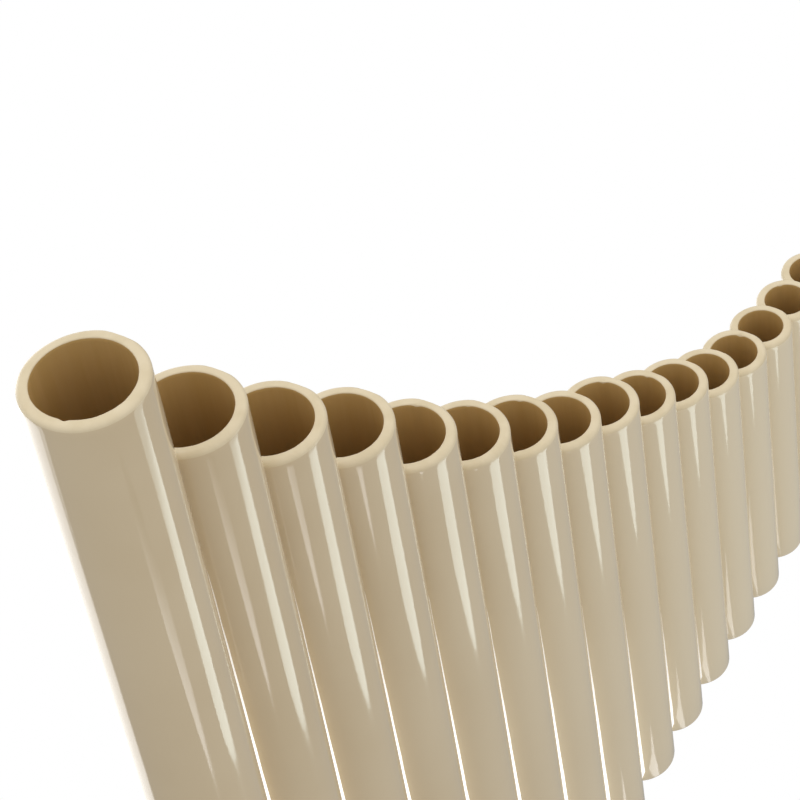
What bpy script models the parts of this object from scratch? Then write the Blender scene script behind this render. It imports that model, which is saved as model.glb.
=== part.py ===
"""Pan flute: a row of glued plastic pipes, each closed by its own sliding tuning stopper.

The flute stands on its mouths, which all lie in the plane z = 0.  The row runs along X
with the longest pipe at -X.  The player's side, very slightly hollow, faces -Y.  The rear ends,
where a tuning rod goes in, step down from left to right and point up.
"""
import math

import bmesh
import bpy

# Lengths are metres unless a name says otherwise.
# Cut lengths of the pipes, longest to shortest.
PIPE_LENGTHS_MM = (
    270.0, 243.5, 221.4, 201.7, 181.0, 163.5, 148.4, 133.5, 122.3, 109.3, 98.5,
    87.7, 80.4, 75.8, 72.0, 69.6, 67.2, 64.8, 62.4, 60.0, 57.6, 55.2,
)
LARGEST_HALF_PITCH = 0.00985
HALF_PITCH_RATIO = 0.9705
FLAT_DEPTH = 0.0006
WALL = 0.00205
GLUE_GAP = 0.0003
ROW_TURN_DEG = 0.025
LIP_ROUND = 0.0006
REAR_ROUND = 0.0010
TURNED_SEGMENTS = 32

# The acoustic length of each closed pipe sets how far its stopper is from the mouth.
LOWEST_NOTE_HZ = 392.0
MAJOR_SCALE = (0, 2, 4, 5, 7, 9, 11)
SPEED_OF_SOUND = 345.0
END_CORRECTION = 0.6

STOPPER_LENGTH = 0.006
STOPPER_CLEARANCE = 0.00015
STOPPER_CHAMFER = 0.0006

IVORY_ABS = (0.60, 0.52, 0.40, 1.0)
GREY_RUBBER = (0.20, 0.19, 0.18, 1.0)


def clear_scene():
    for obj in list(bpy.data.objects):
        bpy.data.objects.remove(obj, do_unlink=True)


def plastic(name, color, roughness):
    mat = bpy.data.materials.new(name)
    mat.use_nodes = True
    bsdf = mat.node_tree.nodes["Principled BSDF"]
    bsdf.inputs["Base Color"].default_value = color
    bsdf.inputs["Roughness"].default_value = roughness
    bsdf.inputs["Metallic"].default_value = 0.0
    mat.diffuse_color = color
    return mat


def half_pitch(index):
    """Distance from a pipe's axis to the flat that is glued to its neighbour."""
    return LARGEST_HALF_PITCH * HALF_PITCH_RATIO ** index


def pipe_radius(index):
    return half_pitch(index) + FLAT_DEPTH


def bore_radius(index):
    return pipe_radius(index) - WALL


def stopper_depth(index):
    """Distance from the mouth to the stopper's face for the pipe's note."""
    octave, degree = divmod(index, len(MAJOR_SCALE))
    semitones = 12 * octave + MAJOR_SCALE[degree]
    frequency = LOWEST_NOTE_HZ * 2 ** (semitones / 12)
    return SPEED_OF_SOUND / (4 * frequency) - END_CORRECTION * bore_radius(index)


def row_positions():
    """Pipe axes in plan: each pipe sits beside the last and the row turns a little each time."""
    count = len(PIPE_LENGTHS_MM)
    heading = math.radians(ROW_TURN_DEG) * (count - 2) / 2
    points = [(0.0, 0.0)]
    for index in range(1, count):
        step = half_pitch(index - 1) + half_pitch(index) + GLUE_GAP
        x, y = points[-1]
        points.append((x + step * math.cos(heading), y + step * math.sin(heading)))
        heading -= math.radians(ROW_TURN_DEG)
    return points


def centred(points):
    """The same plan, moved so that the outline's middle is at the origin."""
    radii = [pipe_radius(index) for index in range(len(points))]
    left = min(x - r for (x, _), r in zip(points, radii))
    right = max(x + r for (x, _), r in zip(points, radii))
    front = min(y - r for (_, y), r in zip(points, radii))
    back = max(y + r for (_, y), r in zip(points, radii))
    return [(x - (left + right) / 2, y - (front + back) / 2) for x, y in points]


def turned_mesh(name, profile, closed, flats=(None, None)):
    """A solid turned about Z from (radius, height) points; an open profile ends on the axis.

    flats gives how far the solid may reach towards -X and +X; None leaves that side round.
    """
    bm = bmesh.new()
    verts = [bm.verts.new((radius, 0.0, height)) for radius, height in profile]
    pairs = list(zip(verts, verts[1:]))
    if closed:
        pairs.append((verts[-1], verts[0]))
    edges = [bm.edges.new(pair) for pair in pairs]
    bmesh.ops.spin(
        bm, geom=verts + edges, cent=(0, 0, 0), axis=(0, 0, 1),
        angle=2 * math.pi, steps=TURNED_SEGMENTS, use_merge=True,
    )
    bmesh.ops.remove_doubles(bm, verts=bm.verts[:], dist=1e-6)
    left, right = flats
    for vert in bm.verts:
        if left is not None:
            vert.co.x = max(vert.co.x, -left)
        if right is not None:
            vert.co.x = min(vert.co.x, right)
    bmesh.ops.recalc_face_normals(bm, faces=bm.faces[:])
    mesh = bpy.data.meshes.new(name)
    bm.to_mesh(mesh)
    bm.free()
    mesh.shade_smooth()
    mesh.set_sharp_from_angle(angle=math.radians(35))
    return mesh


def place(name, mesh, material, location):
    obj = bpy.data.objects.new(name, mesh)
    mesh.materials.append(material)
    obj.location = location
    bpy.context.scene.collection.objects.link(obj)
    return obj


def rounded_edge(outer, size):
    """Outside edge of a tube's end as (radius, distance from the end), wall first."""
    points = []
    for step in range(3):
        angle = math.radians(45 * step)
        radius = outer - size + size * math.cos(angle)
        points.append((radius, size - size * math.sin(angle)))
    return points


def pipe_profile(index):
    """Tube with flat ends, rounded on the outside of the rear end and of the mouth."""
    outer = pipe_radius(index)
    bore = bore_radius(index)
    length = PIPE_LENGTHS_MM[index] / 1000
    rear = [(radius, length - depth) for radius, depth in rounded_edge(outer, REAR_ROUND)]
    mouth = rounded_edge(outer, LIP_ROUND)
    return [(bore, length)] + rear[::-1] + mouth + [(bore, 0.0)]


def pipe_flats(index):
    """Reach towards -X and +X: the sides are sanded flat where a neighbour is glued on."""
    last = len(PIPE_LENGTHS_MM) - 1
    return (
        half_pitch(index) if index > 0 else None,
        half_pitch(index) if index < last else None,
    )


def stopper_profile(index):
    """Plug with chamfered rims, a sliding fit in its pipe's bore."""
    radius = bore_radius(index) - STOPPER_CLEARANCE
    return [
        (0.0, 0.0),
        (radius - STOPPER_CHAMFER, 0.0),
        (radius, STOPPER_CHAMFER),
        (radius, STOPPER_LENGTH - STOPPER_CHAMFER),
        (radius - STOPPER_CHAMFER, STOPPER_LENGTH),
        (0.0, STOPPER_LENGTH),
    ]


def build():
    clear_scene()
    abs_plastic = plastic("ivory_abs", IVORY_ABS, 0.18)
    rubber = plastic("grey_rubber", GREY_RUBBER, 0.75)
    for index, (x, y) in enumerate(centred(row_positions())):
        number = f"{index + 1:02d}"
        pipe = turned_mesh(
            f"pipe_{number}", pipe_profile(index), closed=True, flats=pipe_flats(index)
        )
        place(f"pipe_{number}", pipe, abs_plastic, (x, y, 0.0))
        stopper = turned_mesh(f"stopper_{number}", stopper_profile(index), closed=False)
        place(f"stopper_{number}", stopper, rubber, (x, y, stopper_depth(index)))


build()
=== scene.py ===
"""Pan flute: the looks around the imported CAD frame.

A row of ivory-coloured plastic pipes stands on its mouths.  Each pipe is a finely turned tube
with a rounded lip at the mouth, a matt cut end on top and a flat wherever a neighbour is glued
on.  A bead of white adhesive lies in each valley between two pipes, and a grey rubber plug sits
inside each bore.
"""
import math

import bmesh
import bpy
import numpy as np
from mathutils import Matrix, Vector, noise


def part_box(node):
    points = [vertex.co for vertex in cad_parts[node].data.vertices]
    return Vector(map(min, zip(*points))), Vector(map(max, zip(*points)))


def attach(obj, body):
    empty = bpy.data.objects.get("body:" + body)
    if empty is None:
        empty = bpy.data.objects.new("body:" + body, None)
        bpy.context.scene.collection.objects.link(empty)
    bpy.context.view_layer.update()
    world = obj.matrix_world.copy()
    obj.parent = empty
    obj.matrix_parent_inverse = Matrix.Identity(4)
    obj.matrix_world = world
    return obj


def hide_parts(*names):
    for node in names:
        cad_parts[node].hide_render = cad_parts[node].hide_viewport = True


MM = 0.001
PIPE_COUNT = 22

# Tube
TUBE_SEGMENTS = 128
WALL = 2.05 * MM
SKIN = 0.03 * MM
LIP_ROUND = 0.6 * MM
LIP_STEPS = 6
REAR_ROUND = 1.0 * MM
REAR_STEPS = 7
RING_SPACING = 9.0 * MM
INNER_CHAMFER = 0.16 * MM
CUT_WAVE = 0.05 * MM
CUT_TILT = 0.07 * MM
END_ZONE = 1.5 * MM
SWELL = 0.012 * MM
BURR_NOISE = 0.03 * MM
TUBE_SEED = 410
GLOSS, CUT, BORE = 0, 1, 2

# Plug
PLUG_SEGMENTS = 72
PLUG_WAIST = 0.1 * MM
PLUG_ROUND = 0.7 * MM
PLUG_DISH = 0.5 * MM
DISH_SHARE = 0.72

# Adhesive
GLUE_STEPS = 40
GLUE_SIDES = 14
GLUE_LINE_HEIGHT = 40.0 * MM
GLUE_LINE_SLOPE = -1.2
GLUE_DEEP_DEG = 1.0
GLUE_START_DEG = 26.3
GLUE_START_STEP_DEG = 0.92
GLUE_FADE_MM = 14.0
GLUE_CREEP_DEG_PER_MM = 0.036
GLUE_CREEP_GROWTH = 0.16
GLUE_TOP_MARGIN = 6.0 * MM
GLUE_TAPER = 4.0 * MM
GLUE_SAG = 0.16
GLUE_WOBBLE_DEG = 0.6
GLUE_WOBBLE_PER_METRE = 210
GLUE_WOBBLE_PER_BEAD = 3.7
GLUE_SEED = 900


def material(name):
    """A new node material, its node tree and its Principled shader."""
    mat = bpy.data.materials.new(name)
    mat.use_nodes = True
    return mat, mat.node_tree, mat.node_tree.nodes["Principled BSDF"]


def node(tree, kind, inputs=None, **settings):
    """Adds a node; inputs maps socket names or numbers to values or to output sockets."""
    made = tree.nodes.new(kind)
    for key, value in settings.items():
        setattr(made, key, value)
    for key, value in (inputs or {}).items():
        socket = made.inputs[key]
        if isinstance(value, bpy.types.NodeSocket):
            tree.links.new(value, socket)
        else:
            socket.default_value = value
    return made


def math_node(tree, operation, a, b=0.0):
    return node(tree, "ShaderNodeMath", {0: a, 1: b}, operation=operation).outputs[0]


def ramp(tree, value, low, high, to_low=0.0, to_high=1.0, smooth=True):
    """A value mapped from low..high to to_low..to_high, held outside that range."""
    made = node(
        tree, "ShaderNodeMapRange",
        {"Value": value, "From Min": low, "From Max": high, "To Min": to_low, "To Max": to_high},
        interpolation_type="SMOOTHSTEP" if smooth else "LINEAR",
    )
    return made.outputs["Result"]


def mix_color(tree, factor, a, b):
    made = node(tree, "ShaderNodeMix", {0: factor, 6: a, 7: b}, data_type="RGBA")
    return made.outputs[2]


def place_x(tree):
    """The piece's place along the row."""
    place = node(tree, "ShaderNodeObjectInfo").outputs["Location"]
    return node(tree, "ShaderNodeSeparateXYZ", {0: place}).outputs[0]


def local_coordinates(tree, scale):
    """Coordinates in the piece's own axes, shifted per piece so that no two pieces match."""
    coordinate = node(tree, "ShaderNodeTexCoord").outputs["Object"]
    place = node(tree, "ShaderNodeObjectInfo").outputs["Location"]
    shift = node(
        tree, "ShaderNodeVectorMath", {0: place, 1: NOISE_SHIFT}, operation="MULTIPLY"
    ).outputs[0]
    coordinate = node(
        tree, "ShaderNodeVectorMath", {0: coordinate, 1: shift}, operation="ADD"
    ).outputs[0]
    return node(tree, "ShaderNodeMapping", {"Vector": coordinate, "Scale": scale}).outputs[0]


def noise_value(tree, vector, scale, detail=3.0, roughness=0.5):
    made = node(
        tree, "ShaderNodeTexNoise",
        {"Vector": vector, "Scale": scale, "Detail": detail, "Roughness": roughness},
    )
    return made.outputs["Fac"]


def bump(tree, height, distance, normal=None):
    inputs = {"Height": height, "Distance": distance, "Strength": 1.0}
    if normal is not None:
        inputs["Normal"] = normal
    return node(tree, "ShaderNodeBump", inputs).outputs[0]


# Colours and shares of the materials
NOISE_SHIFT = (37.0, 11.0, 53.0)
EVEN_SCALE = (1.0, 1.0, 1.0)
SPECK_SHARE = 0.93
SPECK_SIZE = (0.045, 0.02)
# Painted light: where along the row the pipe colour turns lighter
PAINTED_LIGHT_ALONG_ROW = (-120.0 * MM, 40.0 * MM)
# Band below the adhesive's start line where it turns white and takes on its painted glow
WHITENS_AND_GLOWS_BELOW = (-8.0 * MM, 44.0 * MM)
# Painted glow: emission strength of the white adhesive, which is no lamp
GLUE_PAINTED_GLOW = 0.75
IVORY = (0.710, 0.580, 0.386, 1.0)
IVORY_WARM = (0.680, 0.548, 0.356, 1.0)
# Painted light: the lighter ivory of the short pipes
IVORY_PAINTED_LIT = (0.860, 0.748, 0.545, 1.0)
CUT_IVORY = (0.740, 0.625, 0.425, 1.0)
CUT_IVORY_DARK = (0.690, 0.575, 0.375, 1.0)
# Painted shade: darker, warmer copies of the ivory for inside the bores
BORE_PAINTED_SHADE = (0.540, 0.352, 0.138, 1.0)
BORE_PAINTED_SHADE_DARK = (0.515, 0.332, 0.120, 1.0)
DIRT = (0.16, 0.12, 0.08, 1.0)
RUBBER = (0.115, 0.110, 0.105, 1.0)
RUBBER_PALE = (0.190, 0.182, 0.172, 1.0)
GLUE_WHITE = (0.93, 0.92, 0.89, 1.0)


def ivory_abs():
    """Glossy extruded plastic: faint lengthwise die lines, slow colour drift and a few specks.

    It is painted lighter towards the short pipes: painted light, standing in for stronger light
    there.
    """
    mat, tree, shader = material("ivory_abs_gloss")
    local = local_coordinates(tree, EVEN_SCALE)
    along = local_coordinates(tree, (1.0, 1.0, 0.03))
    drift = noise_value(tree, local, 28.0, 3.0)
    lines = noise_value(tree, along, 700.0, 4.0, 0.6)
    ripple = noise_value(tree, local, 120.0, 2.0)
    cells = node(
        tree, "ShaderNodeTexVoronoi", {"Vector": local, "Scale": 150.0, "Randomness": 1.0},
    )
    cell_color = node(tree, "ShaderNodeSeparateColor", {0: cells.outputs["Color"]})
    keep = math_node(tree, "GREATER_THAN", cell_color.outputs[0], SPECK_SHARE)
    speck = math_node(
        tree, "MULTIPLY", ramp(tree, cells.outputs["Distance"], *SPECK_SIZE), keep
    )
    speck = math_node(tree, "MULTIPLY", speck, 0.8)
    color = mix_color(tree, ramp(tree, drift, 0.35, 0.65), IVORY, IVORY_WARM)
    # Painted light: the colour turns lighter towards the short pipes, as if lit more strongly
    # there
    painted_lit = ramp(tree, place_x(tree), *PAINTED_LIGHT_ALONG_ROW, smooth=False)
    color = mix_color(tree, painted_lit, color, IVORY_PAINTED_LIT)
    color = mix_color(tree, speck, color, DIRT)
    tree.links.new(color, shader.inputs["Base Color"])
    rough = ramp(tree, lines, 0.3, 0.7, 0.055, 0.085)
    rough = math_node(tree, "ADD", rough, math_node(tree, "MULTIPLY", speck, 0.4))
    tree.links.new(rough, shader.inputs["Roughness"])
    shader.inputs["IOR"].default_value = 1.52
    first = bump(tree, ripple, 0.02 * MM)
    tree.links.new(bump(tree, lines, 0.0016 * MM, normal=first), shader.inputs["Normal"])
    return mat


def cut_abs():
    """The cut end: lighter, matt, with fine parallel saw marks and a rubbed sheen."""
    mat, tree, shader = material("ivory_abs_cut")
    local = local_coordinates(tree, EVEN_SCALE)
    streaks = local_coordinates(tree, (1.0, 0.12, 1.0))
    marks = noise_value(tree, streaks, 1500.0, 3.0, 0.6)
    cloud = noise_value(tree, local, 260.0, 3.0)
    grain = noise_value(tree, local, 5200.0, 2.0)
    color = mix_color(tree, ramp(tree, cloud, 0.35, 0.7), CUT_IVORY, CUT_IVORY_DARK)
    tree.links.new(color, shader.inputs["Base Color"])
    tree.links.new(ramp(tree, cloud, 0.3, 0.7, 0.30, 0.48), shader.inputs["Roughness"])
    shader.inputs["IOR"].default_value = 1.5
    first = bump(tree, marks, 0.02 * MM)
    tree.links.new(bump(tree, grain, 0.004 * MM, normal=first), shader.inputs["Normal"])
    return mat


def bore_abs_painted_shade():
    """The unpolished inside of a pipe: dull, lengthwise scuffs from the rod, painted shade:
    darker and warmer.
    """
    mat, tree, shader = material("ivory_abs_bore_painted_shade")
    along = local_coordinates(tree, (1.0, 1.0, 0.06))
    scuffs = noise_value(tree, along, 420.0, 4.0, 0.6)
    # Painted shade: both bore colours are darker, warmer copies of the ivory
    color = mix_color(tree, ramp(tree, scuffs, 0.35, 0.7), BORE_PAINTED_SHADE, BORE_PAINTED_SHADE_DARK)
    tree.links.new(color, shader.inputs["Base Color"])
    tree.links.new(ramp(tree, scuffs, 0.3, 0.7, 0.45, 0.65), shader.inputs["Roughness"])
    shader.inputs["Specular IOR Level"].default_value = 0.12
    tree.links.new(bump(tree, scuffs, 0.01 * MM), shader.inputs["Normal"])
    return mat


def grey_rubber():
    """Moulded rubber: dull, slightly dusty, fine skin texture."""
    mat, tree, shader = material("grey_rubber_dull")
    local = local_coordinates(tree, EVEN_SCALE)
    dust = noise_value(tree, local, 420.0, 4.0, 0.6)
    skin = noise_value(tree, local, 3400.0, 3.0)
    tree.links.new(
        mix_color(tree, ramp(tree, dust, 0.45, 0.7), RUBBER, RUBBER_PALE),
        shader.inputs["Base Color"],
    )
    tree.links.new(ramp(tree, dust, 0.3, 0.7, 0.55, 0.8), shader.inputs["Roughness"])
    tree.links.new(bump(tree, skin, 0.02 * MM), shader.inputs["Normal"])
    return mat


def white_adhesive_painted_glow():
    """Cured adhesive: a thin ivory film high up that thickens to a white bead with a painted
    glow.
    """
    mat, tree, shader = material("adhesive_white_painted_glow")
    local = local_coordinates(tree, (1.0, 1.0, 0.4))
    lumps = noise_value(tree, local, 650.0, 3.0)
    coordinate = node(tree, "ShaderNodeTexCoord").outputs["Object"]
    height = node(tree, "ShaderNodeSeparateXYZ", {0: coordinate}).outputs[2]
    slope = math_node(tree, "MULTIPLY", place_x(tree), GLUE_LINE_SLOPE)
    start = math_node(tree, "ADD", slope, GLUE_LINE_HEIGHT)
    below = math_node(tree, "SUBTRACT", start, height)
    # White, with a painted glow, below the sloped start line
    white_and_painted_glow = ramp(tree, below, *WHITENS_AND_GLOWS_BELOW, smooth=False)
    tree.links.new(mix_color(tree, white_and_painted_glow, IVORY, GLUE_WHITE), shader.inputs["Base Color"])
    tree.links.new(ramp(tree, lumps, 0.3, 0.7, 0.22, 0.36), shader.inputs["Roughness"])
    tree.links.new(bump(tree, lumps, 0.05 * MM), shader.inputs["Normal"])
    # Painted glow: the white bead emits light though it is no lamp
    shader.inputs["Emission Color"].default_value = (1.0, 0.99, 0.97, 1.0)
    tree.links.new(
        math_node(tree, "MULTIPLY", white_and_painted_glow, GLUE_PAINTED_GLOW), shader.inputs["Emission Strength"]
    )
    return mat


def finish_mesh(name, verts, faces, slots, materials, sharp_deg):
    """A mesh object from rings of vertices, smooth shaded, with outward normals."""
    mesh = bpy.data.meshes.new(name)
    mesh.from_pydata(verts, [], faces)
    for mat in materials:
        mesh.materials.append(mat)
    mesh.polygons.foreach_set("material_index", slots)
    bm = bmesh.new()
    bm.from_mesh(mesh)
    bmesh.ops.recalc_face_normals(bm, faces=bm.faces[:])
    bm.to_mesh(mesh)
    bm.free()
    mesh.shade_smooth()
    mesh.set_sharp_from_angle(angle=math.radians(sharp_deg))
    obj = bpy.data.objects.new(name, mesh)
    bpy.context.scene.collection.objects.link(obj)
    return obj


def tube_rings(radius, bore, height, rng, nicks):
    """Rings of a tube as (radii, heights, slot) arrays around the axis, outside first.

    slot is the material of the band between a ring and the next one.
    """
    turn = np.arange(TUBE_SEGMENTS) * 2 * math.pi / TUBE_SEGMENTS
    phase = rng.uniform(0, 2 * math.pi, 6)
    wave = sum(np.sin((k + 1) * turn + phase[k]) / (k + 1) for k in range(4))
    wave = CUT_WAVE * (wave / 4 - 0.6)
    tilt = CUT_TILT * (np.cos(turn - phase[4]) - 1) / 2
    top = height + np.minimum(wave, 0.0) + tilt
    chip = np.zeros(TUBE_SEGMENTS)
    flap = np.zeros(TUBE_SEGMENTS)
    for angle, width, depth, rise in nicks:
        off = (turn - math.radians(angle) + math.pi) % (2 * math.pi) - math.pi
        bell = np.exp(-((off / math.radians(width)) ** 2))
        chip += depth * MM * bell
        flap += rise * MM * bell
    rough_edge = BURR_NOISE * rng.standard_normal(TUBE_SEGMENTS)
    rough_edge = (rough_edge + np.roll(rough_edge, 1) + np.roll(rough_edge, -1)) / 3
    outer = radius - SKIN
    even = np.ones(TUBE_SEGMENTS)
    rings = []
    for step in range(LIP_STEPS + 1):
        angle = math.pi / 2 * step / LIP_STEPS
        rings.append((
            even * (outer - LIP_ROUND + LIP_ROUND * math.sin(angle)),
            even * (LIP_ROUND - LIP_ROUND * math.cos(angle)), GLOSS,
        ))
    count = max(2, int((height - LIP_ROUND) / RING_SPACING))
    for step in range(1, count):
        z = LIP_ROUND + (height - LIP_ROUND - END_ZONE) * step / count
        swell = SWELL * np.sin(2 * turn + phase[5] + 40 * z)
        rings.append((outer + swell, even * z, GLOSS))
    uneven = 1 + 0.10 * np.sin(2 * turn + phase[2]) + 0.06 * np.sin(5 * turn + phase[3])
    size = REAR_ROUND * uneven
    rings.append((outer * even, top - 1.9 * size, GLOSS))
    for step in range(REAR_STEPS + 1):
        angle = math.pi / 2 * step / REAR_STEPS
        rings.append((
            outer - size * (1 - math.cos(angle)), top - size * (1 - math.sin(angle)),
            CUT if step > 0 else GLOSS,
        ))
    flat = outer - REAR_ROUND * 1.18
    for share in (0.2, 0.6):
        r = flat + (bore + 1.4 * INNER_CHAMFER - flat) * share
        dip = 0.008 * MM * (1 + np.cos(3 * turn + phase[1] + 9 * share))
        rings.append((r * even, top - dip, CUT))
    edge = chip + np.abs(rough_edge)
    rings.append((bore + 1.2 * INNER_CHAMFER + 0.8 * edge, top - 0.2 * edge, CUT))
    rings.append((
        bore + 0.3 * INNER_CHAMFER + 0.7 * edge - flap,
        top - 0.45 * INNER_CHAMFER - 0.7 * edge + 0.3 * flap, CUT,
    ))
    rings.append((bore + 0.2 * edge - 0.6 * flap, top - 1.1 * INNER_CHAMFER - 1.3 * edge, BORE))
    rings.append((bore * even, top - 0.9 * MM - 2.0 * chip, BORE))
    for step in range(count - 1, 0, -1):
        z = LIP_ROUND + (height - LIP_ROUND - END_ZONE) * step / count
        rings.append((bore * even, even * z, BORE))
    for inward, z in ((0.0, 0.35), (0.1, 0.1), (0.35, 0.0)):
        rings.append((bore + inward * MM * even, even * z * MM, GLOSS))
    return turn, rings


def ring_surface(turn, rings, closed, flats=(None, None)):
    """Vertices, faces and slots of a turned surface from its rings.

    flats gives how far the surface may reach towards -X and +X, where the sides are sanded flat.
    """
    count = len(turn)
    verts, faces, slots = [], [], []
    cosine = np.cos(turn)
    reach = np.full(count, np.inf)
    for flat, toward in zip(flats, (-cosine, cosine)):
        if flat is not None:
            reach[toward > 0.5] = flat / toward[toward > 0.5]
    for radii, heights, _ in rings:
        radii = np.minimum(radii, reach)
        xs, ys = radii * np.cos(turn), radii * np.sin(turn)
        verts += list(zip(xs.tolist(), ys.tolist(), heights.tolist()))
    last = len(rings) if closed else len(rings) - 1
    for a in range(last):
        b = (a + 1) % len(rings)
        for j in range(count):
            k = (j + 1) % count
            faces.append((a * count + j, a * count + k, b * count + k, b * count + j))
            slots.append(rings[a][2])
    return verts, faces, slots


# Chips and burrs on the inner edges of the cut ends, by pipe number:
# angle and half width in degrees, depth and burr in millimetres.
NICKS = {
    1: ((194, 4, 0.30, 0.05), (262, 3, 0.08, 0.05)),
    5: ((15, 5, 0.25, 0.20),),
    6: ((21, 4, 0.12, 0.05),),
    7: ((18, 5, 0.20, 0.20), (210, 4, 0.15, 0.0)),
    9: ((20, 6, 0.25, 0.30),),
    10: ((8, 5, 0.20, 0.25),),
    11: ((101, 6, 0.15, 0.20),),
    13: ((10, 7, 0.30, 0.15),),
    15: ((40, 6, 0.2, 0.1),),
}


def make_tube(index, gloss, cut, inside):
    """A pipe, flat where it meets its neighbours; returns its place and main sizes."""
    number = f"{index + 1:02d}"
    low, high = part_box(f"pipe_{number}")
    radius = (high.y - low.y) / 2
    flat = high.x - low.x - radius if index in (0, PIPE_COUNT - 1) else (high.x - low.x) / 2
    centre = low.x + (radius if index == 0 else flat)
    flats = (
        None if index == 0 else flat - SKIN,
        None if index == PIPE_COUNT - 1 else flat - SKIN,
    )
    rng = np.random.default_rng(TUBE_SEED + index)
    turn, rings = tube_rings(radius, radius - WALL, high.z, rng, NICKS.get(index + 1, ()))
    verts, faces, slots = ring_surface(turn, rings, closed=True, flats=flats)
    obj = finish_mesh(f"tube_{number}", verts, faces, slots, (gloss, cut, inside), 50)
    obj.location = (centre, (low.y + high.y) / 2, 0.0)
    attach(obj, "pipes")
    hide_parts(f"pipe_{number}")
    return obj.location.copy(), radius, flat, high.z


def make_plug(index, rubber):
    """A turned plug with rounded rims and a shallow dish in both faces."""
    number = f"{index + 1:02d}"
    low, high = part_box(f"stopper_{number}")
    radius = (high.x - low.x) / 2
    length = high.z - low.z
    turn = np.arange(PLUG_SEGMENTS) * 2 * math.pi / PLUG_SEGMENTS
    even = np.ones(PLUG_SEGMENTS)
    half = [
        (DISH_SHARE * radius * s, PLUG_DISH * (1 - s * s)) for s in (0.08, 0.35, 0.6, 0.8, 1.0)
    ]
    half += [
        (radius - PLUG_ROUND + PLUG_ROUND * math.sin(a), PLUG_ROUND - PLUG_ROUND * math.cos(a))
        for a in np.linspace(0, math.pi / 2, 6)
    ]
    half += [(radius - SKIN, length * 0.3), (radius - PLUG_WAIST, length * 0.42)]
    profile = half + [(r, length - z) for r, z in reversed(half)]
    rings = [(r * even, z * even, 0) for r, z in profile]
    verts, faces, slots = ring_surface(turn, rings, closed=False)
    for ring, z in ((0, PLUG_DISH), (len(rings) - 1, length - PLUG_DISH)):
        centre = len(verts)
        verts.append((0.0, 0.0, z))
        for j in range(PLUG_SEGMENTS):
            k = (j + 1) % PLUG_SEGMENTS
            faces.append((centre, ring * PLUG_SEGMENTS + j, ring * PLUG_SEGMENTS + k))
            slots.append(0)
    obj = finish_mesh(f"plug_{number}", verts, faces, slots, (rubber,), 40)
    obj.location = ((low.x + high.x) / 2, (low.y + high.y) / 2, low.z)
    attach(obj, f"stopper_{number}")
    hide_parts(f"stopper_{number}")


def glue_coverage(z, start, index, least):
    """How far round each pipe, in degrees from the contact line, the adhesive reaches."""
    below = (start - z) / MM
    at_start = GLUE_START_DEG + GLUE_START_STEP_DEG * index
    if below < 0:
        return least + (at_start - least) * math.exp(below / GLUE_FADE_MM)
    return at_start + GLUE_CREEP_DEG_PER_MM * (1 + GLUE_CREEP_GROWTH * index) * below


def make_glue(index, places, adhesive):
    """A bead in the player's-side valley between two pipes, thicker towards the mouths."""
    (a, ra, flat_a, ha), (b, rb, flat_b, hb) = places[index], places[index + 1]
    across = (b - a).normalized()
    front = Vector((across.y, -across.x, 0.0))
    rng = np.random.default_rng(GLUE_SEED + index)
    middle = a.lerp(b, ra / (ra + rb))
    start = GLUE_LINE_HEIGHT + GLUE_LINE_SLOPE * middle.x
    top = min(ha, hb) - GLUE_TOP_MARGIN
    low = LIP_ROUND + 0.4 * MM
    edge_a, edge_b = math.acos(flat_a / ra), math.acos(flat_b / rb)
    least = math.degrees(max(edge_a, edge_b)) + GLUE_DEEP_DEG
    verts = []
    for step in range(GLUE_STEPS + 1):
        z = low + (top - low) * step / GLUE_STEPS
        spot = Vector((
            z * GLUE_WOBBLE_PER_METRE, index * GLUE_WOBBLE_PER_BEAD, rng.uniform(-0.02, 0.02),
        ))
        cover = glue_coverage(z, start, index, least) + GLUE_WOBBLE_DEG * noise.noise(spot)
        end = min(1.0, (top - z) / GLUE_TAPER + 0.15, (z - low) / END_ZONE + 0.6)
        reach_a = edge_a + (math.radians(cover) - edge_a) * end
        reach_b = edge_b + (math.radians(cover) - edge_b) * end
        left = a + ra * (math.cos(reach_a) * across + math.sin(reach_a) * front)
        right = b + rb * (-math.cos(reach_b) * across + math.sin(reach_b) * front)
        section = []
        for k in range(GLUE_SIDES + 1):
            t = k / GLUE_SIDES
            point = left.lerp(right, t)
            sag = GLUE_SAG * (right - left).length * math.sin(math.pi * t)
            section.append(point - front * sag)
        # The back of the bead ends where the two flats begin.
        section.append(b + rb * (-math.cos(edge_b) * across + math.sin(edge_b) * front))
        section.append(a + ra * (math.cos(edge_a) * across + math.sin(edge_a) * front))
        verts += [(p.x - middle.x, p.y - middle.y, z) for p in section]
    per = GLUE_SIDES + 3
    faces, slots = [], []
    for step in range(GLUE_STEPS):
        for k in range(per):
            m = (k + 1) % per
            here, above = step * per, (step + 1) * per
            faces.append((here + k, here + m, above + m, above + k))
            slots.append(0)
    faces.append(tuple(range(per)))
    faces.append(tuple(GLUE_STEPS * per + k for k in reversed(range(per))))
    slots += [0, 0]
    obj = finish_mesh(f"glue_{index + 1:02d}", verts, faces, slots, (adhesive,), 50)
    obj.location = (middle.x, middle.y, 0.0)
    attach(obj, "pipes")


# Light and camera ------------------------------------------------------------------------

# The camera's place, and its directions to the right and forward
CAMERA_PLACE = Vector((-0.38522, -0.23491, 0.59490))
CAMERA_RIGHT = Vector((0.49558, -0.85961, -0.12440))
CAMERA_FORWARD = Vector((0.54741, 0.42032, -0.72365))
CAMERA_LENS = 139.35

STRIP_LIGHT = 3.6
FOOT_LIGHT = 3.2
SIDE_LIGHT = 3.6
BACK_LIGHT = 1.6
COOL_WHITE = (0.90, 1.00, 0.96, 1.0)
STRIP_PLANE = -0.2104
STRIP_FADE = (-0.028, 0.022, 0.48)
SIDE_FADE = (-0.085, 0.030, 0.0)

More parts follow.
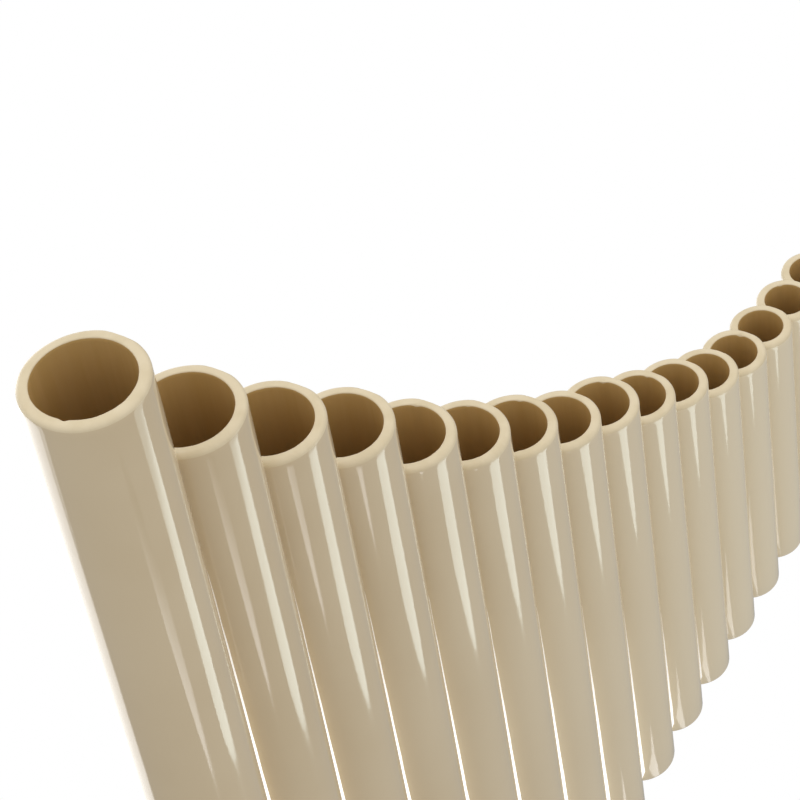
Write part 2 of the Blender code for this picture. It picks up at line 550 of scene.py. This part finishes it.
# World: strengths in reflections and as soft light, and the azimuths of the bright part
GLOSS_FRONT = 0.35
GLOSS_BEHIND = 2.5
GLOSS_ABOVE = 1.0
BRIGHT_FROM = (0.45, 1.15)
BRIGHT_EDGE_DEG = 119.0
BRIGHT_EDGE_SOFT = 0.05
DIFFUSE_BELOW = 0.50
DIFFUSE_ABOVE = 1.12
DIFFUSE_LEFT = 0.80
FLOOR_HALF_SIZE = 4.0


def make_camera():
    data = bpy.data.cameras.new("camera")
    data.lens = CAMERA_LENS
    data.sensor_width = 36.0
    data.clip_start = 0.01
    obj = bpy.data.objects.new("camera", data)
    back = -CAMERA_FORWARD.normalized()
    right = (CAMERA_RIGHT - CAMERA_RIGHT.project(back)).normalized()
    up = back.cross(right)
    turn = Matrix((right, up, back)).transposed()
    obj.matrix_world = Matrix.Translation(CAMERA_PLACE) @ turn.to_4x4()
    bpy.context.scene.collection.objects.link(obj)
    bpy.context.scene.camera = obj


def make_card(name, outline, strength, fade=None, color=(1.0, 1.0, 1.0, 1.0)):
    """A flat glowing card seen only in reflections; outline is a list of 3-D points.

    fade is two heights and the share of the glow that is left at the second.
    """
    mesh = bpy.data.meshes.new(name)
    mesh.from_pydata([tuple(p) for p in outline], [], [tuple(range(len(outline)))])
    mat = bpy.data.materials.new(name)
    mat.use_nodes = True
    tree = mat.node_tree
    tree.nodes.clear()
    if fade is not None:
        place = node(tree, "ShaderNodeNewGeometry").outputs["Position"]
        height = node(tree, "ShaderNodeSeparateXYZ", {0: place}).outputs[2]
        strength = ramp(tree, height, fade[0], fade[1], strength, fade[2] * strength)
    glow = node(tree, "ShaderNodeEmission", {"Strength": strength, "Color": color})
    out = node(tree, "ShaderNodeOutputMaterial")
    tree.links.new(glow.outputs[0], out.inputs["Surface"])
    mesh.materials.append(mat)
    obj = bpy.data.objects.new(name, mesh)
    obj.visible_camera = False
    obj.visible_diffuse = False
    obj.visible_shadow = False
    obj.visible_transmission = False
    bpy.context.scene.collection.objects.link(obj)


def make_lights():
    """Cards seen only as reflections: a strip light, a soft side card, a foot and a back card."""
    make_card("strip_card", [(x, STRIP_PLANE, z) for x, z in (
        (-0.080, 0.200), (-0.078, 0.060), (-0.060, 0.000), (-0.066, -0.040), (-0.072, -0.070),
        (-0.070, -0.086), (-0.056, -0.101), (-0.038, -0.117), (-0.020, -0.131), (-0.004, -0.141),
        (0.014, -0.152), (0.030, -0.158), (0.044, -0.150), (0.046, -0.125), (0.043, -0.090),
        (0.042, -0.060), (0.034, -0.020), (0.034, 0.060), (0.034, 0.200),
    )], STRIP_LIGHT, fade=STRIP_FADE, color=COOL_WHITE)
    make_card("side_card", [(x, STRIP_PLANE, z) for x, z in (
        (-0.230, -0.096), (-0.252, -0.075), (-0.264, -0.045), (-0.262, 0.000), (-0.245, 0.035),
        (-0.205, 0.035), (-0.196, 0.000), (-0.200, -0.045), (-0.214, -0.080),
    )], SIDE_LIGHT, fade=SIDE_FADE)
    make_card("foot_card", [
        (-0.035, -0.0933, -0.0960), (-0.043, -0.0933, -0.110), (-0.054, -0.0933, -0.128),
        (-0.070, -0.0933, -0.160), (0.000, -0.0933, -0.160), (-0.016, -0.0933, -0.128),
        (-0.027, -0.0933, -0.110),
    ], FOOT_LIGHT)
    make_card("back_card", [
        (-0.240, 0.118, 0.085), (-0.258, 0.107, 0.160), (-0.232, 0.127, 0.160),
    ], BACK_LIGHT)


def make_world():
    """White as the camera sees it, and uneven as light.

    In reflections it is bright behind the flute and dim in front.  As soft light it is dimmer
    from below and from the left.
    """
    world = bpy.data.worlds.new("studio")
    bpy.context.scene.world = world
    world.use_nodes = True
    tree = world.node_tree
    tree.nodes.clear()
    out = node(tree, "ShaderNodeOutputWorld")
    direction = node(tree, "ShaderNodeTexCoord").outputs["Generated"]
    split = node(tree, "ShaderNodeSeparateXYZ", {0: direction})
    x, y, z = split.outputs
    rays = node(tree, "ShaderNodeLightPath")
    # How much of the bright part behind the flute a reflection sees, by its azimuth.
    azimuth = math_node(tree, "ARCTAN2", y, x)
    edge = math.radians(BRIGHT_EDGE_DEG)
    behind = ramp(tree, azimuth, edge + BRIGHT_EDGE_SOFT, edge - BRIGHT_EDGE_SOFT)
    behind = math_node(tree, "MULTIPLY", behind, ramp(tree, azimuth, *BRIGHT_FROM))
    glossy_level = node(
        tree, "ShaderNodeMix", {0: behind, 2: GLOSS_FRONT, 3: GLOSS_BEHIND}, data_type="FLOAT"
    ).outputs[0]
    overhead = ramp(tree, z, 0.0, 0.5)
    glossy_level = node(
        tree, "ShaderNodeMix", {0: overhead, 2: glossy_level, 3: GLOSS_ABOVE}, data_type="FLOAT"
    ).outputs[0]
    from_below = ramp(tree, z, -0.35, 0.75, DIFFUSE_BELOW, DIFFUSE_ABOVE)
    from_left = ramp(tree, x, -0.9, -0.2, DIFFUSE_LEFT, 1.0)
    diffuse_level = math_node(tree, "MULTIPLY", from_below, from_left)
    level = node(
        tree, "ShaderNodeMix",
        {0: rays.outputs["Is Glossy Ray"], 2: diffuse_level, 3: glossy_level}, data_type="FLOAT",
    ).outputs[0]
    level = node(
        tree, "ShaderNodeMix",
        {0: rays.outputs["Is Camera Ray"], 2: level, 3: 1.0}, data_type="FLOAT",
    ).outputs[0]
    shade = node(tree, "ShaderNodeBackground", {"Color": (1, 1, 1, 1), "Strength": level})
    tree.links.new(shade.outputs[0], out.inputs["Surface"])


def make_floor():
    """A plain white floor.  It is lit evenly, so it neither shades nor tints the flute."""
    mesh = bpy.data.meshes.new("floor")
    size = FLOOR_HALF_SIZE
    mesh.from_pydata(
        [(-size, -size, 0), (size, -size, 0), (size, size, 0), (-size, size, 0)], [],
        [(0, 1, 2, 3)],
    )
    mat = bpy.data.materials.new("floor_white")
    mat.use_nodes = True
    tree = mat.node_tree
    tree.nodes.clear()
    glow = node(tree, "ShaderNodeEmission", {"Color": (1, 1, 1, 1), "Strength": 1.0})
    out = node(tree, "ShaderNodeOutputMaterial")
    tree.links.new(glow.outputs[0], out.inputs["Surface"])
    mesh.materials.append(mat)
    obj = bpy.data.objects.new("floor", mesh)
    obj.location.z = -0.3 * MM
    obj.visible_diffuse = False
    obj.visible_glossy = False
    obj.visible_shadow = False
    obj.visible_transmission = False
    bpy.context.scene.collection.objects.link(obj)


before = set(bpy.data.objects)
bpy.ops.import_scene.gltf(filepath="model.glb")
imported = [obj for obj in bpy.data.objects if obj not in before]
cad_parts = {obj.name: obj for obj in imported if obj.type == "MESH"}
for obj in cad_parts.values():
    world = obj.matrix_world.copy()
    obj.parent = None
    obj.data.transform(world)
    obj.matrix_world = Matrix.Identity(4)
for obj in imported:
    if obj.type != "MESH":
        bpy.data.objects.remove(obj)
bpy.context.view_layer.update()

gloss, cut, inside = ivory_abs(), cut_abs(), bore_abs_painted_shade()
rubber, adhesive = grey_rubber(), white_adhesive_painted_glow()
places = [make_tube(index, gloss, cut, inside) for index in range(PIPE_COUNT)]
for index in range(PIPE_COUNT):
    make_plug(index, rubber)
for index in range(PIPE_COUNT - 1):
    make_glue(index, places, adhesive)

make_camera()
make_lights()
make_world()
make_floor()
bpy.context.scene.view_settings.view_transform = "Standard"
